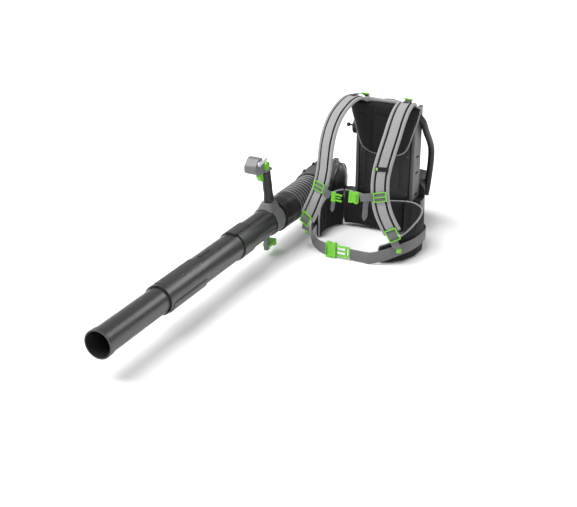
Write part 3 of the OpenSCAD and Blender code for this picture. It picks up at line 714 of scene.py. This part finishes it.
def piping(name, path, node):
    """The bound cord along a pad's seam. path is in metres."""
    piece = tube(name, [p / MM for p in path], PIPE_R, "piping", 12, (0.3, 0.5, 1))
    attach(piece, frame["nodes"][node]["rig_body"])


def closed_route(points, steps):
    """A smooth closed curve through points, its start repeated at the end."""
    count = len(points)
    made = []
    for i in range(count):
        a, b, c, d = (Vector(points[(i + j) % count]) for j in (-1, 0, 1, 2))
        for k in range(steps):
            t = k / steps
            made.append(0.5 * (2 * b + (c - a) * t + (2 * a - 5 * b + 4 * c - d) * t * t
                               + (3 * b - a - 3 * c + d) * t ** 3))
    return made + [made[0]]


def pad_outline(node, depth):
    """The corner points of a flat pad's outline at its back, as the CAD has them, moved to depth."""
    high = max(v.co.y for v in frame["nodes"][node].data.vertices)
    points = {(round(v.co.x, 4), round(v.co.z, 4)) for v in frame["nodes"][node].data.vertices
              if v.co.y > high - 0.0002}
    middle_z = sum(z for _, z in points) / len(points)
    ordered = sorted(points, key=lambda q: math.atan2(q[1] - middle_z, q[0]))
    return [Vector((x, depth, z)) for x, z in ordered]


def upper_pad():
    low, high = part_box("upper_pad")
    seam_y = high.y - 0.006
    edge = closed_route(pad_outline("upper_pad", seam_y), 5)
    edge = [Vector((p.x * 0.992, p.y, low.z + (p.z - low.z) * 0.997)) for p in edge]
    channel_x = (-0.034, 0.034)
    top_seam = high.z - 0.042

    def sewn(co):
        if co.y > high.y - 0.004:
            return 1.0
        front = co.y < high.y - 0.012
        if front and (min(abs(co.x - c) for c in channel_x) < 0.0026 and co.z < high.z - 0.012):
            return 0.96
        if front and abs(co.z - top_seam) < 0.0026:
            return 0.96
        return 0.0

    def flatten(now):
        depth = 0.0
        if now.y < high.y - 0.012 and now.z < high.z - 0.014 and now.z > low.z + 0.012:
            near = min(min(abs(now.x - c) for c in channel_x), abs(now.z - top_seam))
            depth = 0.0046 * math.exp(-(near / 0.0038) ** 2)
        return Vector((now.x, min(now.y + depth, high.y), now.z))

    puffed("upper_pad", "upper_pad_cushion", sewn, 0.007, flatten)
    piping("upper_pad_piping", edge, "upper_pad")


SEAM_REACH = 0.0045


def upright_pad(node, name, route, heights, foot, ends):
    """A pad that stands along a route on the ground plan. ends lists which ends show a seam."""
    points = smooth_route([(x, y, 0) for x, y in route], 4)
    tall = smooth_route([(h, 0, 0) for h in heights], 4)
    top = [Vector((p.x, p.y, h.x - 1.0)) * MM for p, h in zip(points, tall)]
    bottom = [Vector((p.x, p.y, foot + 1.5)) * MM for p in points]
    seam = list(top)
    if "front" in ends:
        a, b = top[-1], bottom[-1]
        forward = (top[-1] - top[-2]).normalized() * 0.003
        seam += [a.lerp(b, k / 8) + forward * sin(pi * k / 8) for k in range(1, 8)]
    seam += list(reversed(bottom))
    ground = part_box(node)[0].z + 0.0003

    def sewn(co):
        return 1.0 if near_path(co, seam, SEAM_REACH) else 0.0

    def flatten(now):
        return Vector((now.x, now.y, max(now.z, ground)))

    puffed(node, name, sewn, SEAM_REACH, flatten)
    return seam


LEFT_WING = [(92, -24), (130, -38), (166, -74), (181, -120), (178, -170), (160, -216), (132, -246),
             (98, -262)]
LEFT_HEIGHTS = [124, 128, 130, 126, 112, 90, 70, 56]
RIGHT_WING = [(-134, -27), (-152, -44), (-164, -70), (-170, -104), (-168, -138), (-158, -166)]
RIGHT_HEIGHTS = [128, 126, 120, 108, 92, 74]
LUMBAR = [(-128, -24), (-90, -19), (-40, -17), (0, -16), (40, -17), (86, -21)]
LUMBAR_HEIGHTS = [128, 124, 114, 110, 114, 122]


def waist_pads():
    seam = upright_pad("hip_wing_left", "hip_wing_left_cushion", LEFT_WING, LEFT_HEIGHTS, 2, "front")
    piping("hip_wing_left_piping", seam, "hip_wing_left")
    seam = upright_pad("hip_wing_right", "hip_wing_right_cushion", RIGHT_WING, RIGHT_HEIGHTS, 2, "front")
    piping("hip_wing_right_piping", seam, "hip_wing_right")
    seam = upright_pad("lumbar_pad", "lumbar_pad_cushion", LUMBAR, LUMBAR_HEIGHTS, 10, "")
    piping("lumbar_pad_piping", seam[:len(seam) // 2], "lumbar_pad")


# ---------------------------------------------------------------- straps and webbing
STRAP = [(80, -12, 448), (86, -40, 462), (92, -80, 465), (97, -125, 455), (102, -170, 432), (104, -205, 400),
         (102, -235, 362), (98, -256, 322), (96, -268, 285), (99, -277, 248), (106, -284, 212),
         (118, -287, 178), (132, -284, 146), (146, -279, 118)]
STRAP_W, STRAP_T = 58.0, 9.0
BINDING, LINE = 10.0, 6.0
STRAP_LEAN = radians(15)


def mirrored(points):
    return [(-x, y, z) for x, y, z in points]


def strap_outline():
    """(across, out, zone) round the strap: bound edges, two dark lines, a broad face, a soft back."""
    half, t = STRAP_W / 2, STRAP_T / 2
    points = []
    inner = half - BINDING
    for k in range(13):
        a = -inner + LINE + (2 * (inner - LINE)) * k / 12
        points.append((a, t - 0.2 + 1.3 * (1 - (a / inner) ** 2), "face"))
    points.append((inner - LINE + 0.3, t - 2.0, "line"))
    points.append((inner - 0.2, t - 2.0, "line"))
    roll = [(half - BINDING + 0.2, t - 0.4), (half - 7.5, t + 0.5), (half - 4.0, t + 0.2),
            (half - 1.2, t - 1.3), (half, 0.4), (half - 0.6, -t + 1.2), (half - 3, -t + 0.2)]
    points += [(a, b, "binding") for a, b in roll]
    points += [(a, -t - 0.6 * cos(pi * a / STRAP_W), "back") for a in (half - 8, 10, 0, -10, -half + 8)]
    points += [(-a, b, "binding") for a, b in reversed(roll)]
    points += [(-inner + 0.2, t - 2.0, "line"), (-inner + LINE - 0.3, t - 2.0, "line")]
    return points


ZONES = ("face", "line", "binding", "back")
ZONE_MATERIALS = ("strap_fabric", "thread", "binding", "soft_black")


def shoulder_strap(side):
    outline = strap_outline()
    path = smooth_route(STRAP if side > 0 else mirrored(STRAP), 6)
    across = (cos(STRAP_LEAN), side * sin(STRAP_LEAN), 0)

    def ring(i, share):
        end = min(1, min(share, 1 - share) / 0.02)
        thin = 0.55 + 0.45 * math.sqrt(max(0, 1 - (1 - end) ** 2))
        ripple = 0.25 * sin(i * 0.9) + 0.2 * sin(i * 2.3 + side)
        return [(a, (b + (ripple if zone == "face" else 0)) * thin) for a, b, zone in outline]

    def zone(k, count, share):
        return ZONES.index(outline[(k + 1) % count][2] if outline[k][2] == "face" else outline[k][2])

    word = "left" if side > 0 else "right"
    piece = sweep(f"shoulder_strap_{word}_cushion", path, across, ring, None, 55, zone)
    for material in ZONE_MATERIALS:
        piece.data.materials.append(MATERIALS[material])
    finish_piece(piece, f"shoulder_strap_{word}", "strap_fabric")


TAPE_STEPS, TAPE_THICK = 6, 1.7


def tape(name, points, across, width, material, thick=TAPE_THICK, point_end=0.0, ripple=0.0, bulge=None):
    """Flat webbing along a route, in millimetres. point_end is the share that narrows to a point,
    ripple is how far its edges wave, and bulge(share) is added to its width."""
    path = smooth_route(points, TAPE_STEPS)

    def ring(i, share):
        w = width
        if point_end and share > 1 - point_end:
            w = width * max(0.12, (1 - share) / point_end)
        if bulge:
            w += bulge(share)
        outline = tape_outline(w, thick)
        lift = ripple * sin(share * 17 + width)
        return [(a, b + lift * (a / width) * 2) for a, b in outline]

    return sweep(name, path, across, ring, material, 50)


CHEST_LEFT = [(84, -298, 231), (70, -301, 229), (56, -300, 226), (41, -297, 222)]
CHEST_LEFT_TAIL = [(62, -294, 221), (59, -292, 203), (57, -289, 183), (55, -288, 161), (53, -289, 143)]
CHEST_RIGHT = [(-84, -297, 227), (-76, -300, 222), (-70, -299, 217), (-60, -296, 212)]
CHEST_RIGHT_TAIL = [(-50, -294, 191), (-53, -291, 179), (-55, -289, 167), (-57, -288, 153)]
LOWER_LEFT = [(151, -279, 96), (156, -276, 78), (162, -268, 62)]
LOWER_RIGHT = [(-151, -279, 96), (-157, -272, 76), (-168, -248, 56)]
WAIST_LEFT = [(162, -47.5, 51), (178, -67, 51.5), (185.5, -84, 52), (189.5, -104, 52.5), (192, -130, 54),
              (190, -168, 54), (182, -206, 53), (164, -240, 50), (142, -264, 43), (112, -280, 31),
              (78, -290, 21.6), (62, -291, 21), (44, -292, 21.5), (11, -292, 22)]
WAIST_RIGHT = [(-184, -84, 48), (-187, -112, 46), (-186, -146, 42), (-180, -176, 36), (-166, -208, 30),
               (-144, -240, 25), (-110, -270, 22), (-75, -289, 24)]
LIFTER = [(92, -68, 473), (88, -40, 471), (80, -14, 465), (74, 10, 455), (72, 25, 440)]
THIN_WEB, WAIST_WEB = 26, 38


STITCH_PITCH = 2.6
STITCH_SIZE = (1.8 * MM, 0.6 * MM, 0.4 * MM)


def stitches(name, points, across, width, shares, thick=TAPE_THICK):
    """Rows of thread across webbing, on both faces, at shares of its length."""
    path = smooth_route(points, TAPE_STEPS)
    ways = directions(path, across)
    bm = bmesh.new()
    for share in shares:
        at = round(share * (len(path) - 1))
        t, w, s = ways[at]
        turn = Matrix((w, t, s)).transposed().to_4x4()
        for k in range(1, int(width / STITCH_PITCH)):
            for face in (1, -1):
                centre = path[at] + w * (k * STITCH_PITCH - width / 2) + s * face * (thick / 2 + 0.1)
                bmesh.ops.create_cube(bm, size=1, matrix=Matrix.Translation(centre * MM) @ turn
                                      @ Matrix.Diagonal((*STITCH_SIZE, 1)))
    return from_bmesh(name, bm, "piping")


def one_node_tapes(node, parts, slot):
    """The parts of one CAD node's webbing, as one piece in its place."""
    piece = joined(node + "_woven", parts)
    finish_piece(piece, node, slot)


def webbing():
    upright = (0, 0, 1)
    one_node_tapes("chest_webbing_left", [
        tape("a", CHEST_LEFT, upright, THIN_WEB, "web_grey"),
        stitches("s", CHEST_LEFT, upright, THIN_WEB, (0.25, 0.33, 0.7, 0.78)),
        tape("b", CHEST_LEFT_TAIL, (1, 0.4, 0), 17, "web_grey", 1.5, point_end=0.2, ripple=1.2),
        threaded("c", placed((104, -288.8, 231), (-11, -11, 15)), 23, 1, along="x")], "web_grey")
    one_node_tapes("chest_webbing_right", [
        tape("a", CHEST_RIGHT, upright, THIN_WEB, "web_grey"),
        stitches("s", CHEST_RIGHT, upright, THIN_WEB, (0.35, 0.45)),
        tape("b", CHEST_RIGHT_TAIL, (1, 0.6, 0), 13, "web_grey", 1.5, point_end=0.25, ripple=1.0),
        threaded("c", placed((-104, -288.8, 231), (-11, 11, -15)), 23, 1, along="x")], "web_grey")
    lean = (cos(STRAP_LEAN), sin(STRAP_LEAN), 0)
    one_node_tapes("lower_webbings", [
        tape("a", LOWER_LEFT, lean, THIN_WEB, "web_grey"),
        stitches("s", LOWER_LEFT, lean, THIN_WEB, (0.6, 0.75)),
        stitches("t", LOWER_RIGHT, (-lean[0], lean[1], 0), THIN_WEB, (0.6, 0.75)),
        tape("b", LOWER_RIGHT, (-lean[0], lean[1], 0), THIN_WEB, "web_grey"),
        threaded("c", placed((150, -286, 112), (3, -26, 15)), 29.4, 2.6),
        threaded("d", placed((-150, -286, 112), (3, 26, -15)), 29.4, 2.6)], "web_grey")
    one_node_tapes("load_lifter_webbing", [
        tape("a", LIFTER, (1, 0, 0), 18, "web_dark"),
        tape("b", mirrored(LIFTER), (1, 0, 0), 18, "web_dark")], "web_dark")
    one_node_tapes("waist_webbing_left", [
        stitches("s", WAIST_LEFT, upright, WAIST_WEB, (0.04, 0.07, 0.2, 0.23), 2.2),
        tape("a", WAIST_LEFT, upright, WAIST_WEB, "web_grey", 2.2,
             bulge=lambda s: 3 * math.exp(-((s - 0.80) / 0.03) ** 2))], "web_grey")
    one_node_tapes("waist_webbing_right", [
        tape("a", WAIST_RIGHT, upright, WAIST_WEB, "web_grey", 2.2),
        stitches("s", WAIST_RIGHT, upright, WAIST_WEB, (0.06, 0.1, 0.9, 0.93), 2.2)], "web_grey")


def label_patch():
    """A plain dark woven tag with a green bar at its end."""
    softened("label_patch", "thread", 0.5 * MM, slot="web_dark")
    place = placed((97.4, -265.4, 313), (-20, 0, 15))
    path = [place @ Vector((x, -1.5, 0)) for x in (-18, -15, -12)]
    bar = sweep("label_patch_bar", path, place.to_3x3() @ Vector((0, 0, 1)),
                lambda i, share: tape_outline(9, 0.8), "green_plastic", 50)
    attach(bar, frame["nodes"]["label_patch"]["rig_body"])


def placed(at, angles):
    """The frame of a CAD piece turned by angles about X, then Y, then Z, in millimetres."""
    return Matrix.Translation(at) @ Euler([radians(a) for a in angles], "XYZ").to_matrix().to_4x4()


def threaded(name, place, width, rise, along="z"):
    """Webbing over a ladder buckle's middle bar: in behind one end, over, and out behind the other.
    rise is how far it stands over the bar, and along is the buckle's own axis that it runs along."""
    course = [(-1.0, 2.2), (-0.72, 1.4), (-0.34, -rise), (0, -rise - 0.9), (0.34, -rise), (0.72, 1.4),
              (1.0, 2.2)]
    half = {"z": 17.5, "x": 19.0}[along]
    if along == "z":
        points = [place @ Vector((0, y, half * share)) for share, y in course]
        across = place.to_3x3() @ Vector((1, 0, 0))
    else:
        points = [place @ Vector((half * share, y * 0.3 + 0.9, 0)) for share, y in course]
        across = place.to_3x3() @ Vector((0, 0, 1))
    return tape(name, points, across, width, "web_grey", 1.5)


def yoke():
    """The bound edge that runs along the top of the pad from one strap to the other."""
    path = smooth_route([(-64, -30, 457), (-54, -20, 456), (-34, -15, 454.5), (0, -13.5, 453.5),
                         (34, -15, 454.5), (54, -20, 456), (64, -30, 457)], 8)
    wide, deep, sides = 5.4, 4.4, 20
    ring = [(wide * cos(2 * pi * k / sides), deep * sin(2 * pi * k / sides)) for k in range(sides)]
    piece = sweep("upper_pad_yoke", path, (0, 0.2, 1), lambda i, share: ring, "binding", 60)
    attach(piece, frame["nodes"]["upper_pad"]["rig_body"])


# ---------------------------------------------------------------- back frame
GUARD = [(101, 38, 398), (112, 50, 378), (114, 78, 338), (114, 120, 290), (114, 138, 256), (114, 138, 210),
         (114, 126, 164), (115, 112, 130), (115, 100, 108)]


def bars():
    """The two guard bars and the carry handle."""
    for side, word in ((1, "left"), (-1, "right")):
        node = f"guard_bar_{word}"
        path = smooth_route(GUARD if side > 0 else mirrored(GUARD), 10)
        bar = tube(node + "_moulding", path, 11, "frame_plastic", 32)
        finish_piece(bar, node, "frame_plastic")
    softened("carry_handle", "frame_plastic", 0.8 * MM, name="carry_handle_moulding")


# The nodes that keep their CAD shape, and how wide their edges' rounding is, in millimetres.
SOFTENED = {
    "back_plate": 1.5, "side_rail_left": 1.6, "side_rail_right": 1.6, "outlet_collar": 1.0,
    "fan_housing_front": 2.0, "fan_housing_rear": 2.0, "intake_grille": 0.5, "motor_controller": 0.5,
    "motor_stator": 0.4, "shaft_bearings": 0.4, "battery_bay": 1.5, "tube_hook": 1.0, "base_feet": 1.0,
    "frame_screws": 0.4, "load_lifter_buckles": 0.8, "chest_sliders": 0.8, "chest_buckle_male": 1.0,
    "strap_adjusters": 1.0, "hip_loops": 1.0, "waist_buckle_male": 1.2, "battery_pack": 1.8,
    "battery_latch": 1.2, "elbow_cover": 0.8, "cable_clips": 0.9,
    "hose_front_cuff": 1.0, "control_pipe": 0.4, "pipe_coupling": 0.8, "mid_tube": 0.9, "nozzle": 0.9,
    "clamp_lever": 1.0, "clamp_pin": 0.3, "trigger": 1.2, "thumb_button": 3.0, "cruise_lever": 1.2,
    "motor_shaft": 0.3, "fan_impeller": 0.4,
}


LOOKS = {"frame_screws": "dark_steel"}  # where the look isn't that of the record's slot


def buckles():
    """The two side-release housings, with their waisted sides, webbing slots and sunk panels."""
    softened("waist_buckle_female", "green_plastic", 1.4 * MM, 3, cutters=[
        rod_cutter((-52, -310, 56.5), (-52, -274, 56.5), 9),
        rod_cutter((-52, -310, -4.5), (-52, -274, -4.5), 9),
        box_cutter((-69, -310, 8), (-65.5, -274, 44)), box_cutter((-61, -303, 14), (-45, -299.2, 38))])
    softened("chest_buckle_female", "green_plastic", 1.1 * MM, 3, cutters=[
        rod_cutter((18, -310, 242.5), (18, -280, 242.5), 8),
        rod_cutter((19, -310, 195.5), (19, -280, 195.5), 8),
        box_cutter((29.5, -310, 207), (32, -280, 231)), box_cutter((11, -305, 211), (26, -301.4, 227))])


# ---------------------------------------------------------------- hose, elbow, handle
PLEATS, PLEAT_STEPS, PLEAT_DEPTH, HOSE_WALL = 11, 14, 9.0, 2.2
CABLE = [(-288, -28, 154), (-286, -14, 164), (-281, 10, 170), (-276, 38, 175), (-270, 66, 180),
         (-265, 91, 180), (-258, 110, 171), (-251, 123, 156), (-247, 116, 151)]


def hose():
    """The pleated hose between the elbow and the cuff."""
    low, high = box_mm("pleated_hose")
    axis = Vector(((low.x + high.x) / 2, high.y, (low.z + high.z) / 2))
    crest = (high.x - low.x) / 2
    root = crest - PLEAT_DEPTH
    pitch = (high.y - low.y) / PLEATS
    outer, inner = [], []
    for i in range(PLEATS * PLEAT_STEPS + 1):
        swell = 0.5 - 0.5 * cos(2 * pi * i / PLEAT_STEPS)
        r = root + (crest - root) * swell ** 1.8
        outer.append((r, i * pitch / PLEAT_STEPS))
        inner.append((r - HOSE_WALL, i * pitch / PLEAT_STEPS))
    piece = revolved("pleated_hose_rubber", outer + inner[::-1], "pleat_rubber", axis, 96, 70)
    # the rib attribute sets where the material paints shade in the folds and a highlight on the crests
    rib = piece.data.attributes.new("rib", "FLOAT", "POINT")
    for v in piece.data.vertices:
        rib.data[v.index].value = math.hypot(v.co.x / MM - axis.x, v.co.z / MM - axis.z) / crest
    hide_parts("pleated_hose")
    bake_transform(piece)


def elbow():
    """The elbow's moulding, and the control cable that its clips hold."""
    # the elbow wears the lighter copy of the housing plastic, painted light for its lit top
    voxel_smooth("elbow_shell", "elbow_shell_moulding", "elbow_painted_lit_plastic", 0.0018, 7, "housing_plastic")
    piece = tube("control_cable_sleeve", smooth_route(CABLE, 8), 3.5, "hose_rubber", 14)
    finish_piece(piece, "control_cable", "hose_rubber")


def handle():
    """The control head with its button's pocket, the clamp and the grip."""
    head = voxel_smooth("control_head", "control_head_moulding", "head_plastic", 0.0013, 30)
    carve(head, [rod_cutter((-242.3, -396, 314), (-226, -396, 314), 14.0, 64),
                 box_cutter((-258, -400.4, 309.6), (-241, -391.6, 318.4))])
    smooth_by_angle(head, 40)
    voxel_smooth("handle_clamp", "handle_clamp_moulding", "head_plastic", 0.0012, 7)
    voxel_smooth("grip_rubber", "grip_rubber_sleeve", "grip_rubber", 0.0012, 6)


# ---------------------------------------------------------------- build
make_camera()
make_studio()
make_materials()
upper_pad()
yoke()
waist_pads()
shoulder_strap(1)
shoulder_strap(-1)
webbing()
label_patch()
bars()
buckles()
for node, width in SOFTENED.items():
    slot = SLOT_OF[node]
    softened(node, LOOKS.get(node, slot), width * MM, slot=slot)
hose()
elbow()
handle()
